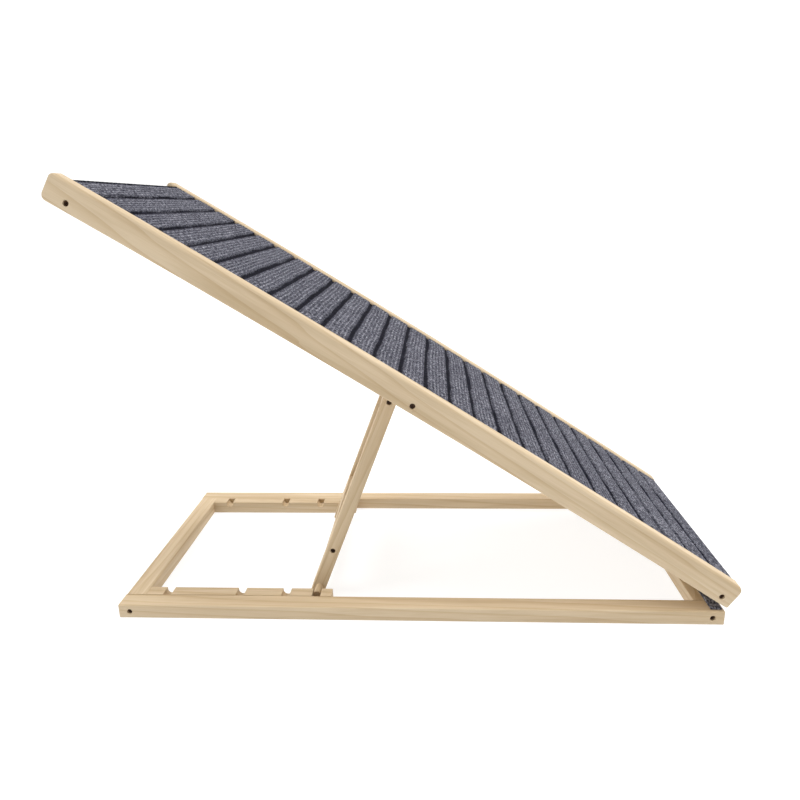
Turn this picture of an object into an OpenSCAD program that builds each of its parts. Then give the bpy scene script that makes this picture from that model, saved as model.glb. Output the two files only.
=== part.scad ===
// Folding dog ramp: a carpeted ramp hinged to a flat base frame and propped by a leg frame,
// whose foot rod stands in one of the notches of the base.
// X runs along the base towards the hinged end, Y across it, Z up. The base stands on Z = 0,
// and the origin is under the middle of the rail that carries the ramp's hinges.

/* [Ramp] */
// Length of the ramp's side rails
ramp_len = 1001; // [900:1:1100]
// Overall width of ramp and base
ramp_w = 382; // [340:2:440]
// Height of a ramp side rail
rail_h = 35; // [34:1:42]
// Thickness of a ramp side rail
rail_t = 20; // [16:1:24]
// Thickness of the deck board under the carpet
deck_t = 7; // [5:0.5:8]
// Width of the cross rails under the deck
cross_w = 28; // [24:1:32]
// Upward bow of the ramp at mid length
bow = 6; // [2:0.5:8]

/* [Carpet] */
// Thickness of the carpet
carpet_t = 6; // [4:0.5:6]
// Distance from one groove of the carpet to the next
groove_pitch = 37.8; // [34:0.2:38.2]
// Width of a groove
groove_w = 5; // [3:0.5:7]
// Depth of a groove
groove_deep = 1.6; // [1:0.2:2.4]

/* [Base] */
// Length of the base frame
base_len = 825; // [800:5:860]
// Width of a base rail
base_rail_w = 28; // [24:1:32]
// Thickness of the base frame
base_t = 20; // [20:1:24]
// Width of the rail that carries the ramp's hinges
hinge_rail_w = 32; // [30:1:40]

/* [Notches] */
// Notch that the foot rod stands in, counted from the plain end rail
foot_notch = 4; // [3:1:4]
// Width of a notched strip
strip_w = 19; // [16:1:19]
// Width of a notch
notch_w = 12; // [11.4:0.2:13]

/* [Leg frame] */
// Width of the leg frame over its two legs
leg_frame_w = 266; // [240:2:284]
// Distance along a leg from its top end to the foot rod
leg_len = 317; // [312:0.5:319]
// Thickness of the leg frame
leg_t = 19.5; // [17:0.5:19.5]
// Width of a leg
leg_w = 28; // [24:1:32]
// Radius of the foot rod
rod_r = 5; // [4.5:0.1:5.2]

/* [Hidden] */
$fn = 48;

// Colours
pine = [0.87, 0.77, 0.60];
ply = [0.80, 0.68, 0.50];
zinc = [0.72, 0.72, 0.70];
charcoal = [0.30, 0.31, 0.36];
dark_steel = [0.25, 0.20, 0.15];

// Half of the gap that the closed leaves of a hinge leave between the timbers
half_gap = 2.65;

// Base
base_x0 = hinge_rail_w / 2 - base_len;
base_x1 = hinge_rail_w / 2;
base_half = ramp_w / 2;
inner_half = base_half - base_rail_w;
end_rail_w = 28.8;
edge_r = 1.5;

// Ramp hinge axis; the ramp's lower end stands just short of it
axis_x = base_x1 + 0.3;
axis_z = base_t + half_gap;
toe_gap = 0.75;

// Ramp, in its own frame with X down the slope; its underside rises from half_gap at both
// ends in an arc, and stations are given along X with heights above the underside
toe_x = -toe_gap;
tip_x = -toe_gap - ramp_len;
ramp_mid = (toe_x + tip_x) / 2;
bow_r = pow(ramp_len, 2) / (8 * bow);
bow_pieces = 10;
rail_in = base_half - rail_t;
cross_t = 20;
bottom_x = toe_x - 16.1;
middle_x = toe_x - 499;
top_x = toe_x - ramp_len + 29.3;
ramp_cross_x = [bottom_x, middle_x, top_x];
deck_x0 = top_x - cross_w / 2;
deck_x1 = bottom_x + cross_w / 2;
deck_half = rail_in - 0.5;
crown_r = 5.5;
foot_edge_r = 2;
screw_n = cross_t / 2;
function swing(x) = asin((x - ramp_mid) / bow_r);

// A station and a height as a point of the ramp's side view, and a row of such points
function side_point(x, n) = [
    ramp_mid + (bow_r + n) * sin(swing(x)),
    half_gap + bow - bow_r + (bow_r + n) * cos(swing(x))
];
function side_row(x0, x1, n) = [for (i = [0 : 20]) side_point(x0 + (x1 - x0) * i / 20, n)];

// Carpet
carpet_n = cross_t + deck_t;
carpet_x0 = deck_x0 - 4.5;
carpet_x1 = deck_x1 + 3.1;
wrap_n = 0.6;
nose_low_r = 9;
nose_high_r = 6;
grooves = 25;
groove_x0 = (carpet_x0 + carpet_x1 - (grooves - 1) * groove_pitch) / 2;
flap_x0 = base_x1 - 17;
flap_x1 = base_x1 - 2.5;
flap_half = base_half - 5;
flap_t = 2.9;
glue_t = 0.1;

// Leg frame, in its own frame with X towards the foot and the hinged face at -half_gap
leg_over = 5.44;
leg_hinge_dx = -11.8;
rod_at = leg_len - leg_over;
leg_mid_z = -half_gap - leg_t / 2;
foot_end = rod_at + 12;
top_bar_x = cross_w / 2 - 1;
cross_bar_x = rod_at - 61.8;
leg_cross_x = [top_bar_x, cross_bar_x];
leg_half = leg_frame_w / 2;
leg_in = leg_half - leg_w;
rod_half = inner_half - 8.3;
foot_r = 3;

// Notches, measured from the plain end of the base
notch_at = [58.5, 163.4, 228.6, 272.5];
strip_end = 294;
notch_r = notch_w / 2;
rod_z = base_t - 3.3;
notch_z = rod_z + notch_r - rod_r - 0.3;
foot_x = base_x0 + notch_at[foot_notch - 1];

// The ramp's hinge, the leg's hinge and the foot rod form the triangle that sets the slope
middle_turn = swing(middle_x);
hinge_x = ramp_mid + bow_r * sin(middle_turn) + leg_hinge_dx * cos(middle_turn)
    - half_gap * sin(middle_turn);
hinge_z = half_gap + bow - bow_r * (1 - cos(middle_turn)) - leg_hinge_dx * sin(middle_turn)
    - half_gap * cos(middle_turn);
hinge_reach = norm([hinge_x, hinge_z]);
foot_reach = norm([axis_x - foot_x, axis_z - rod_z]);
leg_reach = norm([rod_at, leg_mid_z]);
foot_dip = atan2(axis_z - rod_z, axis_x - foot_x);
ramp_cos = (pow(hinge_reach, 2) + pow(foot_reach, 2) - pow(leg_reach, 2))
    / (2 * hinge_reach * foot_reach);
ramp_angle = acos(ramp_cos) - foot_dip - atan2(hinge_z, -hinge_x);
leg_hinge_x = axis_x + hinge_x * cos(ramp_angle) + hinge_z * sin(ramp_angle);
leg_hinge_z = axis_z - hinge_x * sin(ramp_angle) + hinge_z * cos(ramp_angle);
leg_turn = atan2(leg_hinge_z - rod_z, foot_x - leg_hinge_x) - atan2(-leg_mid_z, rod_at);
leg_fold = leg_turn - ramp_angle;

// Timber screws, sunk below the face they enter
screw_len = 45;
head_sink = 3;
head_h = 3.4;
head_r = 3.4;
bore_r = 3.75;
shank_r = 2;
socket_r = 1.7;
base_screw_x = [base_x0 + 15, base_x1 - 15];

// Hinges
leaf_t = 1.2;
leaf_len = 20;
leaf_w = 40;
barrel_r = 2.3;
barrel_gap = 0.3;
pin_r = 1.2;
pin_play = 0.05;
leaf_screw_x = 12;
leaf_screw_y = 12;
leaf_shank_r = 1.4;
leaf_head_r = 2.6;
leaf_head_h = 0.8;
leaf_screw_len = 11;
ramp_hinge_y = 95;
leg_hinge_y = 60;

// Frames

// Origin on the ramp hinge's axis, X down the slope, Z square to the ramp
module ramp_frame() {
    translate([axis_x, 0, axis_z]) rotate([0, ramp_angle, 0]) children();
}

// Origin on the leg hinge's axis, X along the leg to its foot, Z square to the leg
module leg_frame() {
    ramp_frame() translate([hinge_x, 0, hinge_z]) rotate([0, leg_fold, 0]) children();
}

// Origin on the ramp's underside at station x, X along the slope there
module station(x) {
    translate([ramp_mid, 0, half_gap + bow - bow_r]) rotate([0, swing(x), 0])
        translate([0, 0, bow_r]) children();
}

// Origin on the ramp hinge's axis, X along the ramp's bottom rail
module ramp_hinge_frame() {
    rotate([0, swing(bottom_x), 0]) children();
}

// Origin on a cross rail's underside, X across that rail
module cross_frame(x) {
    if (x == bottom_x) ramp_hinge_frame() translate([bottom_x - 0.05, 0, half_gap]) children();
    else station(x) children();
}

// Origin on the leg hinge's axis, X along the ramp's middle rail
module leg_hinge_frame() {
    ramp_frame() station(middle_x) translate([leg_hinge_dx, 0, -half_gap]) children();
}

// Shapes

// A rectangle with a radius for each corner, anticlockwise from the low left one
module rounded(w, h, r) {
    polygon([
        [r[0], 0], [w - r[1], 0], [w, r[1]], [w, h - r[2]],
        [w - r[2], h], [r[3], h], [0, h - r[3]], [0, r[0]]
    ]);
    translate([r[0], r[0]]) circle(r[0]);
    translate([w - r[1], r[1]]) circle(r[1]);
    translate([w - r[2], h - r[2]]) circle(r[2]);
    translate([r[3], h - r[3]]) circle(r[3]);
}

// A bar along X from x0 to x1; radii of its edges from the low front one
module bar_x(x0, x1, y0, w, z0, t, r) {
    translate([x0, y0, z0]) rotate([90, 0, 90]) linear_extrude(x1 - x0) rounded(w, t, r);
}

// A bar along Y from -half to half; radii of its edges from the low one on the -X side
module bar_y(x0, w, half, z0, t, r) {
    translate([x0, half, z0]) rotate([90, 0, 0]) linear_extrude(2 * half) rounded(w, t, r);
}

module rod_y(x, z, y0, y1, r) {
    translate([x, y0, z]) rotate([-90, 0, 0]) cylinder(r = r, h = y1 - y0);
}

function even(r) = [r, r, r, r];

// A section, with heights above the underside as X and Y across, carried along the ramp from
// x0 to x1 in short straight pieces that meet on radial planes of the bow
module bent(x0, x1) {
    step = ramp_len / bow_pieces;
    for (i = [0 : bow_pieces - 1]) {
        at = tip_x + i * step;
        low = i == 0 ? x0 : max(at, x0);
        high = i == bow_pieces - 1 ? x1 : min(at + step, x1);
        difference() {
            station(at + step / 2) rotate([0, -90, 0])
                linear_extrude(step + 6, center = true) children();
            station(low) translate([-step, -base_half - 1, -10]) cube([step, ramp_w + 2, 60]);
            station(high) translate([0, -base_half - 1, -10]) cube([step, ramp_w + 2, 60]);
        }
    }
}

// What rounds an edge across the ramp at the origin; the solid lies towards dx, dz
module corner_cut(r, dx, dz) {
    scale([dx, 1, dz]) difference() {
        translate([-1, -base_half - 1, -1]) cube([r + 1, ramp_w + 2, r + 1]);
        rod_y(r, r, -base_half - 2, base_half + 2, r);
    }
}

// What a side screw removes from the timbers it joins; face is the half width at its head
module side_bore(x, z, side, face) {
    scale([1, side, 1]) {
        rod_y(x, z, face - head_sink - head_h, face + 1, bore_r);
        rod_y(x, z, face - head_sink - screw_len, face - head_sink - head_h, shank_r);
    }
}

module side_screw(x, z, side, face) {
    scale([1, side, 1]) {
        difference() {
            rod_y(x, z, face - head_sink - head_h, face - head_sink, head_r);
            translate([x, face - head_sink - 2, z]) rotate([-90, 0, 0])
                cylinder(r = socket_r, h = 3, $fn = 6);
        }
        rod_y(x, z, face - head_sink - screw_len, face - head_sink - head_h, shank_r);
    }
}

// Hinges, in a frame whose Y axis is the pin. The leaf runs to +X or -X (dir) and lies on the
// +Z or -Z side (side) of the gap between the timbers.

module barrels(own_middle, r) {
    third = leaf_w / 3;
    if (own_middle) rod_y(0, 0, barrel_gap - third / 2, third / 2 - barrel_gap, r);
    else for (s = [-1, 1]) rod_y(0, 0, s * third - third / 2, s * third + third / 2, r);
}

module barrel_tabs(own_middle, dir, side) {
    third = leaf_w / 3;
    reach = barrel_r + 0.6;
    for (s = own_middle ? [0] : [-1, 1]) {
        trim = own_middle ? barrel_gap : 0;
        translate([
            dir > 0 ? 0 : -reach - 0.5,
            s * third - third / 2 + trim,
            side > 0 ? half_gap - leaf_t : -half_gap
        ]) cube([reach + 0.5, third - 2 * trim, leaf_t]);
    }
}

module leaf(y, dir, side, own_middle) {
    reach = barrel_r + 0.6;
    play = own_middle ? pin_play : 0;
    translate([0, y, 0]) difference() {
        union() {
            translate([
                dir > 0 ? reach : -leaf_len,
                -leaf_w / 2,
                side > 0 ? half_gap - leaf_t : -half_gap
            ]) cube([leaf_len - reach, leaf_w, leaf_t]);
            barrel_tabs(own_middle, dir, side);
            barrels(own_middle, barrel_r);
        }
        rod_y(0, 0, -leaf_w, leaf_w, pin_r + play);
        leaf_screw_places(dir) translate([0, 0, -half_gap - 1])
            cylinder(r = leaf_shank_r, h = 2 * half_gap + 2);
    }
}

module leaf_screw_places(dir) {
    for (s = [-1, 1]) translate([dir * leaf_screw_x, s * leaf_screw_y, 0]) children();
}

// What the screws of a leaf remove from the timber behind it
module leaf_bores(y, dir, side) {
    translate([0, y, 0]) leaf_screw_places(dir)
        translate([0, 0, side > 0 ? half_gap - 1 : -half_gap - leaf_screw_len + leaf_t])
            cylinder(r = leaf_shank_r, h = leaf_screw_len - leaf_t + 1);
}

module leaf_screws(y, dir, side) {
    translate([0, y, 0]) leaf_screw_places(dir) scale([1, 1, side]) {
        translate([0, 0, half_gap - leaf_t]) cylinder(r = leaf_shank_r, h = leaf_screw_len);
        translate([0, 0, half_gap - leaf_t - leaf_head_h]) cylinder(r = leaf_head_r, h = leaf_head_h);
    }
}

module hinge_pin(y) {
    rod_y(0, 0, y - leaf_w / 2, y + leaf_w / 2, pin_r);
}

// Base

module base_rail(side) {
    color(pine) difference() {
        bar_x(base_x0, base_x1, side > 0 ? inner_half : -base_half, base_rail_w, 0, base_t, even(edge_r));
        for (x = base_screw_x) side_bore(x, base_t / 2, side, base_half);
    }
}

module base_rail_front() base_rail(-1);

module base_rail_back() base_rail(1);

module base_end_rail() {
    color(pine) difference() {
        bar_y(base_x0, end_rail_w, inner_half, 0, base_t, even(edge_r));
        for (s = [-1, 1]) side_bore(base_screw_x[0], base_t / 2, s, base_half);
    }
}

module base_hinge_rail() {
    color(pine) difference() {
        bar_y(base_x1 - hinge_rail_w, hinge_rail_w, inner_half, 0, base_t, even(edge_r));
        for (s = [-1, 1]) {
            side_bore(base_screw_x[1], base_t / 2, s, base_half);
            translate([axis_x, 0, axis_z]) leaf_bores(s * ramp_hinge_y, -1, -1);
        }
    }
}

module notch_strip(side) {
    color(pine) difference() {
        translate([base_x0 + end_rail_w, side > 0 ? inner_half - strip_w : -inner_half, 0])
            cube([strip_end - end_rail_w, strip_w, base_t]);
        for (n = notch_at) translate([base_x0 + n, 0, 0]) {
            rod_y(0, notch_z, -base_half, base_half, notch_r);
            translate([-notch_r, -base_half, notch_z]) cube([notch_w, 2 * base_half, base_t]);
        }
    }
}

module notch_strip_front() notch_strip(-1);

module notch_strip_back() notch_strip(1);

module base_screws() {
    color(dark_steel) for (x = base_screw_x, s = [-1, 1]) side_screw(x, base_t / 2, s, base_half);
}

// The tail of the carpet, fixed on the hinge rail and the side rails, over the hinge leaves
module carpet_flap() {
    color(charcoal) difference() {
        bar_y(flap_x0, flap_x1 - flap_x0, flap_half, base_t + glue_t, flap_t, [0.4, 0.4, 1, 1.4]);
        for (s = [-1, 1]) translate([axis_x - leaf_len - 1, s * ramp_hinge_y - leaf_w / 2 - 1, base_t - 1])
            cube([leaf_len + 2, leaf_w + 2, 1 + leaf_t + leaf_head_h + 0.1]);
    }
}

module ramp_hinge_base_leaves() {
    color(zinc) translate([axis_x, 0, axis_z])
        for (s = [-1, 1]) leaf(s * ramp_hinge_y, -1, -1, false);
}

module ramp_hinge_pins() {
    color(zinc) translate([axis_x, 0, axis_z]) for (s = [-1, 1]) hinge_pin(s * ramp_hinge_y);
}

module ramp_hinge_base_screws() {
    color(zinc) translate([axis_x, 0, axis_z])
        for (s = [-1, 1]) leaf_screws(s * ramp_hinge_y, -1, -1);
}

// Ramp

module ramp_rail(side) {
    color(pine) ramp_frame() difference() {
        bent(tip_x, toe_x) translate([0, side > 0 ? rail_in : -base_half])
            rounded(rail_h, rail_t, [foot_edge_r, crown_r, crown_r, foot_edge_r]);
        station(tip_x) corner_cut(8, 1, 1);
        station(tip_x) translate([0, 0, rail_h]) corner_cut(7, 1, -1);
        station(toe_x) corner_cut(3, -1, 1);
        station(toe_x) translate([0, 0, rail_h]) corner_cut(9, -1, -1);
        for (x = ramp_cross_x) cross_frame(x) side_bore(0, screw_n, side, base_half);
    }
}

module ramp_rail_front() ramp_rail(-1);

module ramp_rail_back() ramp_rail(1);

module ramp_cross(x) {
    cross_frame(x) difference() {
        bar_y(-cross_w / 2, cross_w, rail_in, 0, cross_t - 0.05, even(edge_r));
        for (s = [-1, 1]) side_bore(0, screw_n, s, base_half);
    }
}

module ramp_top_rail() {
    color(pine) ramp_frame() ramp_cross(top_x);
}

module ramp_middle_rail() {
    color(pine) difference() {
        ramp_frame() ramp_cross(middle_x);
        leg_hinge_frame() for (s = [-1, 1]) leaf_bores(s * leg_hinge_y, 1, 1);
    }
}

module ramp_bottom_rail() {
    color(pine) ramp_frame() difference() {
        ramp_cross(bottom_x);
        for (s = [-1, 1]) ramp_hinge_frame() leaf_bores(s * ramp_hinge_y, -1, 1);
    }
}

module deck_board() {
    color(ply) ramp_frame() translate([0, deck_half, 0]) rotate([90, 0, 0])
        linear_extrude(2 * deck_half) polygon(concat(
            side_row(deck_x0, deck_x1, cross_t), side_row(deck_x1, deck_x0, carpet_n)
        ));
}

// One strip of ribbed carpet that turns down over both ends of the deck
module carpet() {
    top = carpet_n + carpet_t;
    color(charcoal) ramp_frame() difference() {
        translate([0, deck_half, 0]) rotate([90, 0, 0]) linear_extrude(2 * deck_half)
            polygon(concat(
                [side_point(carpet_x0, wrap_n)],
                side_row(carpet_x0, carpet_x1, top),
                [side_point(carpet_x1, wrap_n), side_point(deck_x1 + 0.1, wrap_n)],
                side_row(deck_x1 + 0.1, deck_x0 - 0.1, carpet_n + 0.05),
                [side_point(deck_x0 - 0.1, wrap_n)]
            ));
        station(carpet_x0) translate([0, 0, top]) corner_cut(nose_high_r, 1, -1);
        station(carpet_x1) translate([0, 0, top]) corner_cut(nose_low_r, -1, -1);
        for (i = [0 : grooves - 1]) station(groove_x0 + i * groove_pitch)
            translate([-groove_w / 2, -base_half, top - groove_deep])
                cube([groove_w, 2 * base_half, carpet_t]);
    }
}

module ramp_screws() {
    color(dark_steel) ramp_frame()
        for (x = ramp_cross_x, s = [-1, 1]) cross_frame(x) side_screw(0, screw_n, s, base_half);
}

module ramp_hinge_ramp_leaves() {
    color(zinc) ramp_frame() ramp_hinge_frame()
        for (s = [-1, 1]) leaf(s * ramp_hinge_y, -1, 1, true);
}

module ramp_hinge_ramp_screws() {
    color(zinc) ramp_frame() ramp_hinge_frame()
        for (s = [-1, 1]) leaf_screws(s * ramp_hinge_y, -1, 1);
}

module leg_hinge_ramp_leaves() {
    color(zinc) leg_hinge_frame()
        for (s = [-1, 1]) leaf(s * leg_hinge_y, 1, 1, false);
}

module leg_hinge_pins() {
    color(zinc) leg_hinge_frame()
        for (s = [-1, 1]) hinge_pin(s * leg_hinge_y);
}

module leg_hinge_ramp_screws() {
    color(zinc) leg_hinge_frame()
        for (s = [-1, 1]) leaf_screws(s * leg_hinge_y, 1, 1);
}

// Leg frame

module leg(side) {
    y0 = side > 0 ? leg_in : -leg_half;
    color(pine) leg_frame() difference() {
        intersection() {
            bar_x(-leg_over - 1, foot_end + 1, y0, leg_w, -half_gap - leg_t, leg_t, even(2));
            bar_y(-leg_over, foot_end + leg_over, leg_half + 1, -half_gap - leg_t, leg_t,
                [2, foot_r, foot_r, 2]);
        }
        for (x = leg_cross_x) side_bore(x, leg_mid_z, side, leg_half);
        rod_y(rod_at, leg_mid_z, -base_half, base_half, rod_r);
    }
}

module leg_front() leg(-1);

module leg_back() leg(1);

module leg_cross(x) {
    difference() {
        bar_y(x - cross_w / 2, cross_w, leg_in, -half_gap - leg_t, leg_t, even(edge_r));
        for (s = [-1, 1]) side_bore(x, leg_mid_z, s, leg_half);
    }
}

module leg_top_bar() {
    color(pine) leg_frame() difference() {
        leg_cross(top_bar_x);
        for (s = [-1, 1]) leaf_bores(s * leg_hinge_y, 1, -1);
    }
}

module leg_cross_bar() {
    color(pine) leg_frame() leg_cross(cross_bar_x);
}

module leg_foot_rod() {
    color(pine) leg_frame() rod_y(rod_at, leg_mid_z, -rod_half, rod_half, rod_r);
}

module leg_screws() {
    color(dark_steel) leg_frame()
        for (x = leg_cross_x, s = [-1, 1]) side_screw(x, leg_mid_z, s, leg_half);
}

module leg_hinge_leg_leaves() {
    color(zinc) leg_frame() for (s = [-1, 1]) leaf(s * leg_hinge_y, 1, -1, true);
}

module leg_hinge_leg_screws() {
    color(zinc) leg_frame() for (s = [-1, 1]) leaf_screws(s * leg_hinge_y, 1, -1);
}

base_rail_front();
base_rail_back();
base_end_rail();
base_hinge_rail();
notch_strip_front();
notch_strip_back();
base_screws();
carpet_flap();
ramp_hinge_base_leaves();
ramp_hinge_pins();
ramp_hinge_base_screws();
ramp_rail_front();
ramp_rail_back();
ramp_top_rail();
ramp_middle_rail();
ramp_bottom_rail();
deck_board();
carpet();
ramp_screws();
ramp_hinge_ramp_leaves();
ramp_hinge_ramp_screws();
leg_hinge_ramp_leaves();
leg_hinge_pins();
leg_hinge_ramp_screws();
leg_front();
leg_back();
leg_top_bar();
leg_cross_bar();
leg_foot_rod();
leg_screws();
leg_hinge_leg_leaves();
leg_hinge_leg_screws();
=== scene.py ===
import math

import bpy
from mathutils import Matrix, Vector


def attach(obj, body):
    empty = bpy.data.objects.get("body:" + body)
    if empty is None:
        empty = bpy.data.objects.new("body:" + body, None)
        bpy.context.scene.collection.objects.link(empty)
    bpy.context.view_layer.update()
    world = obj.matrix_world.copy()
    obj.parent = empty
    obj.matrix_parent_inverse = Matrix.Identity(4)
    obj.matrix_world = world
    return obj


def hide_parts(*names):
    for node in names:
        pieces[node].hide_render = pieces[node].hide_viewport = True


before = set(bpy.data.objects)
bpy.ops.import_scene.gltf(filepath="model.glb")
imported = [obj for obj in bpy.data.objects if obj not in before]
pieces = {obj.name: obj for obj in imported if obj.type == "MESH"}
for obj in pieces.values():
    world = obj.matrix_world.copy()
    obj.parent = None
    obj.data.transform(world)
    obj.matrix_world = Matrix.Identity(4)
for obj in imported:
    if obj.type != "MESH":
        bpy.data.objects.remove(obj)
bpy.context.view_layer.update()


# The pose at rest: the ramp's slope, the leg frame's turn about Y, and the ramp hinge's axis
SLOPE = math.radians(32.4967)
TURN = math.radians(111.2686)
AXIS = Vector((0.0163, 0, 0.02265))

# The ramp in millimetres: the rails' length and rise at mid length, and how far their lower
# ends stand off the hinge's axis along the slope and square to it
RAIL, BOW = 1001.0, 6.0
TOE_GAP, GAP = 0.75, 2.65
RADIUS = RAIL ** 2 / (8 * BOW)
MIDDLE = -TOE_GAP - RAIL / 2

# Rows of loops between the middles of two of the carpet's grooves
RIBS = 7


# ---------------------------------------------------------------- materials

def new_material(name):
    """An empty material with one shader on its surface."""
    material = bpy.data.materials.new(name)
    material.use_nodes = True
    tree = material.node_tree
    tree.nodes.clear()
    out = tree.nodes.new("ShaderNodeOutputMaterial")
    shader = tree.nodes.new("ShaderNodeBsdfPrincipled")
    tree.links.new(shader.outputs[0], out.inputs["Surface"])
    return material, tree, shader


def node(tree, kind, links=None, **settings):
    """A shader node with its settings; links names an input and the socket that feeds it."""
    made = tree.nodes.new("ShaderNode" + kind)
    for key, value in settings.items():
        if hasattr(made, key):
            setattr(made, key, value)
        else:
            made.inputs[key.replace("_", " ")].default_value = value
    for key, source in (links or {}).items():
        tree.links.new(source, made.inputs[key])
    return made


def colour_ramp(tree, source, stops):
    """The colour that source picks from stops, each a place from 0 to 1 with its colour."""
    made = tree.nodes.new("ShaderNodeValToRGB")
    while len(made.color_ramp.elements) < len(stops):
        made.color_ramp.elements.new(0.5)
    for element, (at, colour) in zip(made.color_ramp.elements, stops):
        element.position = at
        element.color = (*colour, 1)
    tree.links.new(source, made.inputs[0])
    return made


def mix(tree, kind, factor, a, b):
    """Colour a blended with b; a factor or colour is a value or a socket."""
    made = tree.nodes.new("ShaderNodeMix")
    made.data_type = "RGBA"
    made.blend_type = kind
    if isinstance(factor, float):
        made.inputs["Factor"].default_value = factor
    else:
        tree.links.new(factor, made.inputs["Factor"])
    for socket, value in ((made.inputs[6], a), (made.inputs[7], b)):
        if isinstance(value, tuple):
            socket.default_value = (*value, 1)
        else:
            tree.links.new(value, socket)
    return made.outputs[2]


def along(tree, turn, at, stretch):
    """Object coordinates with a piece's length turned to X, moved by at and squeezed along X."""
    where = tree.nodes.new("ShaderNodeTexCoord")
    turned = node(tree, "Mapping", {"Vector": where.outputs["Object"]}, Rotation=turn)
    return node(tree, "Mapping", {"Vector": turned.outputs[0]}, Location=at, Scale=(stretch, 1, 1))


def wood(name, turn, seed, light, dark, shaded_end=0.0):
    """Planed softwood with its grain along a piece: broad streaks, growth lines and short fibres.

    Given the distance for a dark end, the piece beyond that distance from the middle is dark:
    painted shade, as in a notch, over darker end grain.
    """
    material, tree, shader = new_material(name)
    at = (seed * 1.37, seed * 0.61, seed * 0.83)
    long = along(tree, turn, at, 0.05).outputs[0]
    fibre = along(tree, turn, at, 0.03).outputs[0]
    broad = node(
        tree, "TexNoise", {"Vector": long}, Scale=70.0, Detail=3.0, Roughness=0.55, Distortion=0.5,
    )
    lines = node(
        tree, "TexWave", {"Vector": long}, wave_type="BANDS", bands_direction="DIAGONAL",
        wave_profile="SAW", Scale=48.0, Distortion=6.5, Detail=2.0, Detail_Scale=0.7,
    )
    fine = node(tree, "TexNoise", {"Vector": fibre}, Scale=900.0, Detail=3.0, Roughness=0.6)
    patch = node(tree, "TexNoise", {"Vector": long}, Scale=9.0, Detail=1.0)
    mid = tuple((a + b) / 2 for a, b in zip(light, dark))
    base = colour_ramp(tree, broad.outputs[0], [(0.36, light), (0.52, mid), (0.66, dark)])
    grain = colour_ramp(tree, lines.outputs["Fac"], [
        (0.0, (1, 1, 1)), (0.70, (0.98, 0.96, 0.93)), (1.0, (0.82, 0.75, 0.65)),
    ])
    colour = mix(tree, "MULTIPLY", 0.7, base.outputs[0], grain.outputs[0])
    hairs = colour_ramp(tree, fine.outputs[0], [(0.3, (0.90, 0.87, 0.83)), (0.7, (1, 1, 1))])
    colour = mix(tree, "MULTIPLY", 0.7, colour, hairs.outputs[0])
    drift = colour_ramp(tree, patch.outputs[0], [(0.35, (0.94, 0.92, 0.88)), (0.65, (1, 1, 1))])
    colour = mix(tree, "MULTIPLY", 0.7, colour, drift.outputs[0])
    # Painted shade: beyond this distance the piece is darkened, as in the shade of a notch, over
    # darker end grain
    if shaded_end:
        where = tree.nodes.new("ShaderNodeTexCoord")
        split = node(tree, "SeparateXYZ", {"Vector": where.outputs["Object"]})
        side = node(tree, "Math", {0: split.outputs["Y"]}, operation="ABSOLUTE")
        end = colour_ramp(tree, side.outputs[0], [
            (shaded_end - 0.0004, (1, 1, 1)), (shaded_end, (0.30, 0.22, 0.15)),
        ])
        colour = mix(tree, "MULTIPLY", 1.0, colour, end.outputs[0])
    tree.links.new(colour, shader.inputs["Base Color"])
    shader.inputs["Roughness"].default_value = 0.6
    shader.inputs["Specular IOR Level"].default_value = 0.3
    bump = node(tree, "Bump", {"Height": fine.outputs[0]}, Strength=0.12, Distance=0.0004)
    tree.links.new(bump.outputs[0], shader.inputs["Normal"])
    return material


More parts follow.
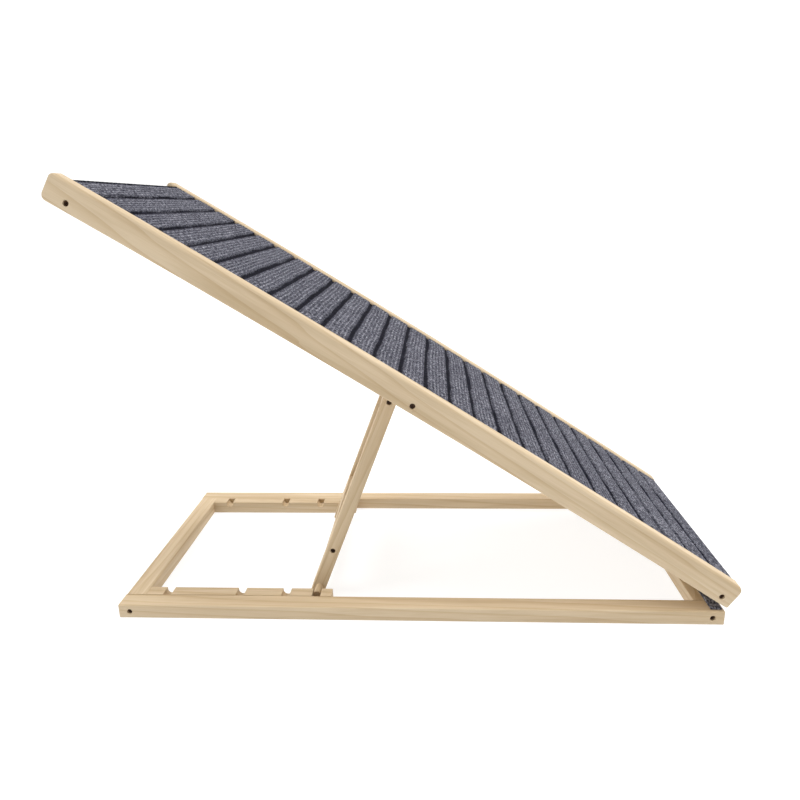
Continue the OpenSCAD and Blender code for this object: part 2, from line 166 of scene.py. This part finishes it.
def carpet_stuff(name, turn, pitch=0.0, first=0.0, groove=0.005):
    """Grey heathered carpet; with a pitch it has ribs and dark, slightly wavy grooves across, with
    painted shade darkening the hollows between the ribs and the grooves.
    """
    material, tree, shader = new_material(name)
    where = tree.nodes.new("ShaderNodeTexCoord")
    flat = node(tree, "Mapping", {"Vector": where.outputs["Object"]}, Rotation=turn)
    yarn = node(tree, "Mapping", {"Vector": flat.outputs[0]}, Scale=(1.0, 0.55, 1.0))
    fleck = node(
        tree, "TexNoise", {"Vector": yarn.outputs[0]}, Scale=400.0, Detail=2.0, Roughness=0.7,
    )
    tuft = node(tree, "TexVoronoi", {"Vector": yarn.outputs[0]}, Scale=340.0)
    patch = node(tree, "TexNoise", {"Vector": flat.outputs[0]}, Scale=40.0, Detail=3.0)
    base = colour_ramp(tree, fleck.outputs[0], [
        (0.36, (0.048, 0.048, 0.062)), (0.46, (0.135, 0.135, 0.160)),
        (0.55, (0.230, 0.230, 0.262)), (0.66, (0.46, 0.46, 0.50)),
    ])
    spots = colour_ramp(tree, tuft.outputs["Distance"], [
        (0.0, (1, 1, 1)), (0.9, (0.45, 0.45, 0.48)),
    ])
    colour = mix(tree, "MULTIPLY", 0.7, base.outputs[0], spots.outputs[0])
    worn = colour_ramp(tree, patch.outputs[0], [(0.3, (0.78, 0.78, 0.80)), (0.7, (1, 1, 1))])
    colour = mix(tree, "MULTIPLY", 0.8, colour, worn.outputs[0])
    if pitch:
        split = node(tree, "SeparateXYZ", {"Vector": flat.outputs[0]})
        drift = node(tree, "TexNoise", {"Vector": flat.outputs[0]}, Scale=15.0, Detail=0.0)
        sway = 0.0036
        wave = node(tree, "Math", {0: drift.outputs[0]}, operation="MULTIPLY_ADD")
        wave.inputs[1].default_value = sway
        wave.inputs[2].default_value = pitch / 2 - first - sway / 2
        steps = node(tree, "Math", {0: split.outputs["X"], 1: wave.outputs[0]}, operation="ADD")
        turns = node(tree, "Math", {0: steps.outputs[0]}, operation="DIVIDE")
        turns.inputs[1].default_value = pitch
        part = node(tree, "Math", {0: turns.outputs[0]}, operation="FRACT")
        off = node(tree, "Math", {0: part.outputs[0]}, operation="SUBTRACT")
        off.inputs[1].default_value = 0.5
        away = node(tree, "Math", {0: off.outputs[0]}, operation="ABSOLUTE")
        row = node(tree, "Math", {0: turns.outputs[0]}, operation="MULTIPLY")
        row.inputs[1].default_value = 2 * math.pi * RIBS
        rib = node(tree, "Math", {0: row.outputs[0]}, operation="COSINE")
        # Painted shade: the hollows between the ribs are darkened
        tone = colour_ramp(tree, rib.outputs[0], [(0.0, (0.50, 0.50, 0.54)), (0.8, (1, 1, 1))])
        colour = mix(tree, "MULTIPLY", 0.9, colour, tone.outputs[0])
        # Painted shade: the grooves are darkened to near black, as the shade inside them
        edge = groove / pitch / 2
        dark = colour_ramp(tree, away.outputs[0], [
            (edge * 0.85, (0.09, 0.09, 0.13)), (edge * 1.4, (1, 1, 1)),
        ])
        colour = mix(tree, "MULTIPLY", 1.0, colour, dark.outputs[0])
    tree.links.new(colour, shader.inputs["Base Color"])
    shader.inputs["Roughness"].default_value = 0.95
    shader.inputs["Specular IOR Level"].default_value = 0.1
    bump = node(tree, "Bump", {"Height": fleck.outputs[0]}, Strength=0.8, Distance=0.0012)
    tree.links.new(bump.outputs[0], shader.inputs["Normal"])
    return material


def metal(name, colour, worn, rough, shine):
    """Metal whose tone drifts from colour to worn; shine is how metallic it is."""
    material, tree, shader = new_material(name)
    where = tree.nodes.new("ShaderNodeTexCoord")
    noise = node(tree, "TexNoise", {"Vector": where.outputs["Object"]}, Scale=420.0, Detail=3.0)
    tone = colour_ramp(tree, noise.outputs[0], [(0.35, colour), (0.7, worn)])
    tree.links.new(tone.outputs[0], shader.inputs["Base Color"])
    gloss = colour_ramp(tree, noise.outputs[0], [(0.3, (rough,) * 3), (0.8, (rough + 0.15,) * 3)])
    tree.links.new(gloss.outputs[0], shader.inputs["Roughness"])
    shader.inputs["Metallic"].default_value = shine
    return material


# Tones of the timber, and the turns that bring a piece's length to X
LIGHT = (0.67, 0.55, 0.39)
DARK = (0.55, 0.43, 0.28)
FLAT = (0, 0, 0)
ACROSS = (0, 0, -math.pi / 2)
UPHILL = (0, -SLOPE, 0)
LEGWAYS = (0, -TURN, 0)
# Past this distance from its middle, the foot rod's ends carry painted shade, as in their notches
ROD_SHADED_END = 0.1543

timber = {
    "base_rail_front": (FLAT, 1), "base_rail_back": (FLAT, 2),
    "base_end_rail": (ACROSS, 3), "base_hinge_rail": (ACROSS, 4),
    "notch_strip_front": (FLAT, 5), "notch_strip_back": (FLAT, 6),
    "ramp_rail_front": (UPHILL, 7), "ramp_rail_back": (UPHILL, 8),
    "ramp_top_rail": (ACROSS, 9), "ramp_middle_rail": (ACROSS, 10),
    "ramp_bottom_rail": (ACROSS, 11), "deck_board": (ACROSS, 12),
    "leg_front": (LEGWAYS, 13), "leg_back": (LEGWAYS, 14),
    "leg_top_bar": (ACROSS, 15), "leg_cross_bar": (ACROSS, 16),
    "leg_foot_rod": (ACROSS, 17),
}
for name, (turn, seed) in timber.items():
    piece = pieces[name]
    piece.data.materials.clear()
    shaded_end = ROD_SHADED_END if name == "leg_foot_rod" else 0.0
    piece.data.materials.append(wood("wood_" + name, turn, seed, LIGHT, DARK, shaded_end))

screw_metal = metal("screw_metal", (0.035, 0.014, 0.005), (0.10, 0.045, 0.018), 0.5, 0.3)
zinc = metal("zinc", (0.50, 0.49, 0.46), (0.62, 0.61, 0.58), 0.35, 1.0)
for name, piece in pieces.items():
    if name in ("base_screws", "ramp_screws", "leg_screws"):
        piece.data.materials.clear()
        piece.data.materials.append(screw_metal)
    elif name not in timber and "carpet" not in name:
        piece.data.materials.clear()
        piece.data.materials.append(zinc)


# ---------------------------------------------------------------- carpet

def strip(name, outer, inner, stations, wobble):
    """A closed strip of cloth: its outer and inner outlines, point for point, swept across Y.

    The outer face is uneven by up to wobble, except along its two ends.
    """
    n, m = len(outer), len(stations)
    points = []
    for layer in (outer, inner):
        for j, y in enumerate(stations):
            for i, (x, z) in enumerate(layer):
                loose = layer is outer and 0 < i < n - 1
                lift = wobble * math.sin(i * 12.9898 + j * 78.233) if loose else 0.0
                points.append((x, y, z + lift))

    def at(layer, j, i):
        return (layer * m + j) * n + i

    faces = []
    for j in range(m - 1):
        for i in range(n - 1):
            faces.append((at(0, j, i), at(0, j, i + 1), at(0, j + 1, i + 1), at(0, j + 1, i)))
            faces.append((at(1, j, i), at(1, j + 1, i), at(1, j + 1, i + 1), at(1, j, i + 1)))
            if j == 0:
                faces.append((at(0, j, i), at(1, j, i), at(1, j, i + 1), at(0, j, i + 1)))
            if j == m - 2:
                k = m - 1
                faces.append((at(0, k, i), at(0, k, i + 1), at(1, k, i + 1), at(1, k, i)))
            if i == 0:
                faces.append((at(0, j, i), at(0, j + 1, i), at(1, j + 1, i), at(1, j, i)))
            if i == n - 2:
                k = n - 1
                faces.append((at(0, j, k), at(1, j, k), at(1, j + 1, k), at(0, j + 1, k)))
    mesh = bpy.data.meshes.new(name)
    mesh.from_pydata(points, [], faces)
    mesh.update()
    thing = bpy.data.objects.new(name, mesh)
    bpy.context.scene.collection.objects.link(thing)
    for polygon in mesh.polygons:
        polygon.use_smooth = True
    return thing


def arc(cx, cz, r, a0, a1, steps):
    """Points on a circle from angle a0 to a1, in degrees."""
    return [
        (cx + r * math.cos(math.radians(a0 + (a1 - a0) * k / steps)),
         cz + r * math.sin(math.radians(a0 + (a1 - a0) * k / steps)))
        for k in range(steps + 1)
    ]


# Along the ramp in millimetres: stations down the slope from the hinge's axis, and heights
# above the timbers' undersides, which rise in a shallow bow
DECK_X0, DECK_X1 = -986.45, -2.85
OUT_X0, OUT_X1 = DECK_X0 - 4.5, DECK_X1 + 3.1
UNDER, OVER, LOW = 27.0, 33.0, 0.6
HIGH_NOSE, LOW_NOSE = 6.0, 9.0
HALF = 170.5

# The grooves across the carpet, and the ribs between them
PITCH, GROOVE, DEEP, GROOVES = 37.8, 6.0, 2.8, 25
FIRST = (OUT_X0 + OUT_X1 - (GROOVES - 1) * PITCH) / 2
RIB_DEEP = 0.55
STEP = PITCH / 56


def pile(x):
    """Depth of the ribbed surface under the carpet's highest level."""
    t = ((x - FIRST) / PITCH) % 1.0
    away = min(t, 1 - t) * PITCH
    shoulder = max(0.0, min(1.0, (away - GROOVE / 2 + 0.6) / 1.6))
    shoulder = shoulder * shoulder * (3 - 2 * shoulder)
    ribs = 0.5 - 0.5 * math.cos(2 * math.pi * RIBS * t)
    return DEEP * (1 - shoulder) + RIB_DEEP * (1 - ribs) * shoulder


def outlines():
    """The carpet's outer and inner outlines, point for point, from its high end to its low end."""
    top = []
    x = OUT_X0 + HIGH_NOSE
    while x < OUT_X1 - LOW_NOSE:
        top.append(x)
        x += STEP
    high, low = OVER - HIGH_NOSE, OVER - LOW_NOSE
    outer = [(OUT_X0, LOW + (high - LOW) * k / 6) for k in range(6)]
    outer += arc(OUT_X0 + HIGH_NOSE, high, HIGH_NOSE, 180, 90, 6)
    outer += [(x, OVER - pile(x)) for x in top[1:]]
    outer += arc(OUT_X1 - LOW_NOSE, low, LOW_NOSE, 90, 0, 8)
    outer += [(OUT_X1, low + (LOW - low) * k / 6) for k in range(1, 7)]
    inner = [(DECK_X0, LOW + (UNDER - LOW) * k / 9) for k in range(9)]
    inner += [(DECK_X0 + 0.01 * k, UNDER) for k in range(4)]
    inner += [(x, UNDER) for x in top[1:]]
    inner += [(DECK_X1 - 0.05 + 0.01 * k, UNDER) for k in range(5)]
    inner += [(DECK_X1, UNDER + (LOW - UNDER) * k / 10) for k in range(1, 11)]
    return outer, inner


def up_slope(profile):
    """Stations and heights as points of the side view, in metres, at rest."""
    c, s = math.cos(SLOPE), math.sin(SLOPE)
    placed = []
    for station, height in profile:
        swing = math.asin((station - MIDDLE) / RADIUS)
        x = MIDDLE + (RADIUS + height) * math.sin(swing)
        z = GAP + BOW - RADIUS + (RADIUS + height) * math.cos(swing)
        placed.append((AXIS.x + (x * c + z * s) / 1000, AXIS.z + (-x * s + z * c) / 1000))
    return placed


outer, inner = outlines()
sections = [(-HALF + 2 * HALF * k / 60) / 1000 for k in range(61)]
carpet = strip("carpet_sheet", up_slope(outer), up_slope(inner), sections, wobble=0.00012)

# The material's grooves are spaced as on the top of the bow
spread = 1 + OVER / RADIUS
first_top = MIDDLE + (FIRST - MIDDLE) * spread
carpet.data.materials.append(carpet_stuff(
    "ribbed_carpet", UPHILL, PITCH * spread / 1000,
    first_top / 1000 + AXIS.x * math.cos(SLOPE) - AXIS.z * math.sin(SLOPE), GROOVE / 1000,
))
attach(carpet, "ramp")
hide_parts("carpet")

flap = pieces["carpet_flap"]
flap.data.materials.clear()
flap.data.materials.append(carpet_stuff("plain_carpet", FLAT))


# ---------------------------------------------------------------- light, floor and camera

def studio_floor():
    """A round floor whose rim sweeps up into a low wall; it glows, which washes out the shadows
    cast on it, and the wall in front glows least.
    """
    sides = 72
    rings = [(12.0, 0.0), (13.0, 0.2), (13.7, 0.9), (14.0, 2.0), (14.0, 6.5)]
    points = [
        (r * math.cos(2 * math.pi * k / sides), r * math.sin(2 * math.pi * k / sides), z)
        for r, z in rings for k in range(sides)
    ]
    faces = [tuple(range(sides))]
    for j in range(len(rings) - 1):
        for k in range(sides):
            here, after = j * sides + k, j * sides + (k + 1) % sides
            faces.append((here, here + sides, after + sides, after))
    mesh = bpy.data.meshes.new("floor")
    mesh.from_pydata(points, [], faces)
    thing = bpy.data.objects.new("floor", mesh)
    bpy.context.scene.collection.objects.link(thing)
    material, tree, shader = new_material("floor_glow")
    where = tree.nodes.new("ShaderNodeTexCoord")
    noise = node(tree, "TexNoise", {"Vector": where.outputs["Object"]}, Scale=3.0, Detail=2.0)
    tone = colour_ramp(tree, noise.outputs[0], [(0.3, (0.298,) * 3), (0.7, (0.302,) * 3)])
    tree.links.new(tone.outputs[0], shader.inputs["Base Color"])
    split = node(tree, "SeparateXYZ", {"Vector": where.outputs["Object"]})
    glow = node(tree, "MapRange", {"Value": split.outputs["Y"]})
    for key, value in (("From Min", -12.5), ("From Max", -6.0), ("To Min", 0.2), ("To Max", 1.0)):
        glow.inputs[key].default_value = value
    shade = mix(tree, "MULTIPLY", 1.0, tone.outputs[0], glow.outputs[0])
    # Glow: emitted light washes out the shadows cast on the floor and adds to the light bounced
    # onto the pieces
    tree.links.new(shade, shader.inputs["Emission Color"])
    shader.inputs["Emission Strength"].default_value = 2.65
    shader.inputs["Roughness"].default_value = 0.9
    mesh.materials.append(material)


def softbox(name, energy, spread, turn):
    """A wide soft light; turn is its rotation in degrees from straight down."""
    light = bpy.data.lights.new(name, "SUN")
    light.energy = energy
    light.angle = math.radians(spread)
    thing = bpy.data.objects.new(name, light)
    thing.rotation_euler = [math.radians(a) for a in turn]
    bpy.context.scene.collection.objects.link(thing)


studio_floor()
softbox("overhead", 3.5, 60, (-6, 16, 0))
softbox("under_ramp", 2.0, 40, (0, -48, 8))
world = bpy.data.worlds.new("studio")
world.use_nodes = True
background = world.node_tree.nodes["Background"]
background.inputs["Color"].default_value = (1, 1, 1, 1)
background.inputs["Strength"].default_value = 0.15
bpy.context.scene.world = world
bpy.context.scene.view_settings.view_transform = "Standard"

# Where the camera stands when the base lies square to X, in metres and degrees
camera_data = bpy.data.cameras.new("camera")
camera_data.sensor_width = 36
camera_data.lens = 30.232
camera = bpy.data.objects.new("camera", camera_data)
camera.location = (-0.36685, -0.98814, 0.54732)
camera.rotation_euler = [math.radians(a) for a in (73.7856, 1.1149, 2.8085)]
bpy.context.scene.collection.objects.link(camera)
bpy.context.scene.camera = camera
